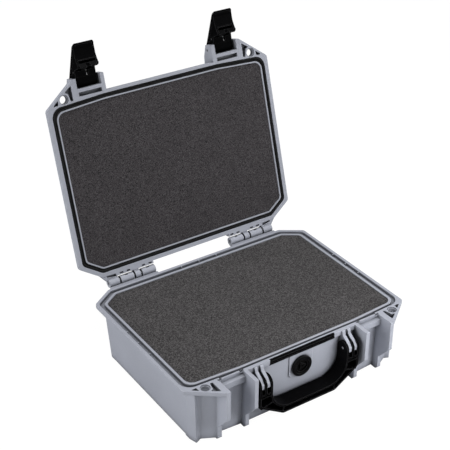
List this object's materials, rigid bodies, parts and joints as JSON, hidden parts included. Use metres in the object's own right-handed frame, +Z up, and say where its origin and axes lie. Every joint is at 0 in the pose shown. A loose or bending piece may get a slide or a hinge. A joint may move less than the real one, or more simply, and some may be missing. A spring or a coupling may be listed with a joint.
{
  "type": "hard-shell equipment case",
  "caption": "Open hard-shell equipment case with foam inserts, swing lid on rear hinges, over-centre latches, folding carry handle and pressure valve.",
  "frame": {"origin": "middle of the case's flat bottom, on the surface that it stands on", "axes": "+X to the case's right-hand side, +Y to its back, +Z up"},
  "size_m": [0.39, 0.4348, 0.4534],
  "materials": {
    "grey_shell": "fine moulded grain, satin",
    "foam": "open-cell foam, charcoal, matt",
    "seal_rubber": "soft black rubber",
    "black_plastic": "fine grain, semi-matt black",
    "valve_plastic": "smooth semi-matt black",
    "steel": "drawn stainless wire"
  },
  "bodies": {
    "base": {"base_shell": "grey_shell", "base_foam_bottom": "foam", "base_foam_middle": "foam", "base_foam_top": "foam", "front_strip": "black_plastic", "valve_body": "valve_plastic", "valve_core": "valve_plastic", "valve_nut": "valve_plastic", "valve_seal": "seal_rubber", "hinge_pin_left": "steel", "hinge_pin_right": "steel", "handle_pin_left": "steel", "handle_pin_right": "steel"},
    "lid": {"lid_shell": "grey_shell", "lid_seal": "seal_rubber", "lid_foam": "foam", "latch_pin_left": "steel", "latch_pin_right": "steel"},
    "handle": {"handle": "black_plastic"},
    "latch_left": {"latch_lever_left": "black_plastic", "catch_pin_left": "steel", "latch_spring_left": "steel"},
    "catch_left": {"latch_catch_left": "black_plastic"},
    "latch_right": {"latch_lever_right": "black_plastic", "catch_pin_right": "steel", "latch_spring_right": "steel"},
    "catch_right": {"latch_catch_right": "black_plastic"}
  },
  "joints": [
    {"name": "lid_hinge", "type": "hinge", "parent": "base", "child": "lid", "pos_m": [0, 0.1648, 0.0992], "axis": [1, 0, 0], "range_deg": [0, 106.7]},
    {"name": "handle_swing", "type": "hinge", "parent": "base", "child": "handle", "pos_m": [0, -0.135, 0.074], "axis": [-1, 0, 0], "range_deg": [0, 90]},
    {"name": "latch_left_swing", "type": "hinge", "parent": "lid", "child": "latch_left", "pos_m": [-0.121, 0.26565, 0.39082], "axis": [1, 0, 0], "range_deg": [0, 70]},
    {"name": "catch_left_press", "type": "hinge", "parent": "latch_left", "child": "catch_left", "pos_m": [-0.121, 0.26774, 0.407], "axis": [1, 0, 0], "range_deg": [-8, 0], "stiffness_Nm_per_rad": 0.05},
    {"name": "latch_right_swing", "type": "hinge", "parent": "lid", "child": "latch_right", "pos_m": [0.121, 0.26565, 0.39082], "axis": [1, 0, 0], "range_deg": [0, 70]},
    {"name": "catch_right_press", "type": "hinge", "parent": "latch_right", "child": "catch_right", "pos_m": [0.121, 0.26774, 0.407], "axis": [1, 0, 0], "range_deg": [-8, 0], "stiffness_Nm_per_rad": 0.05}
  ]
}
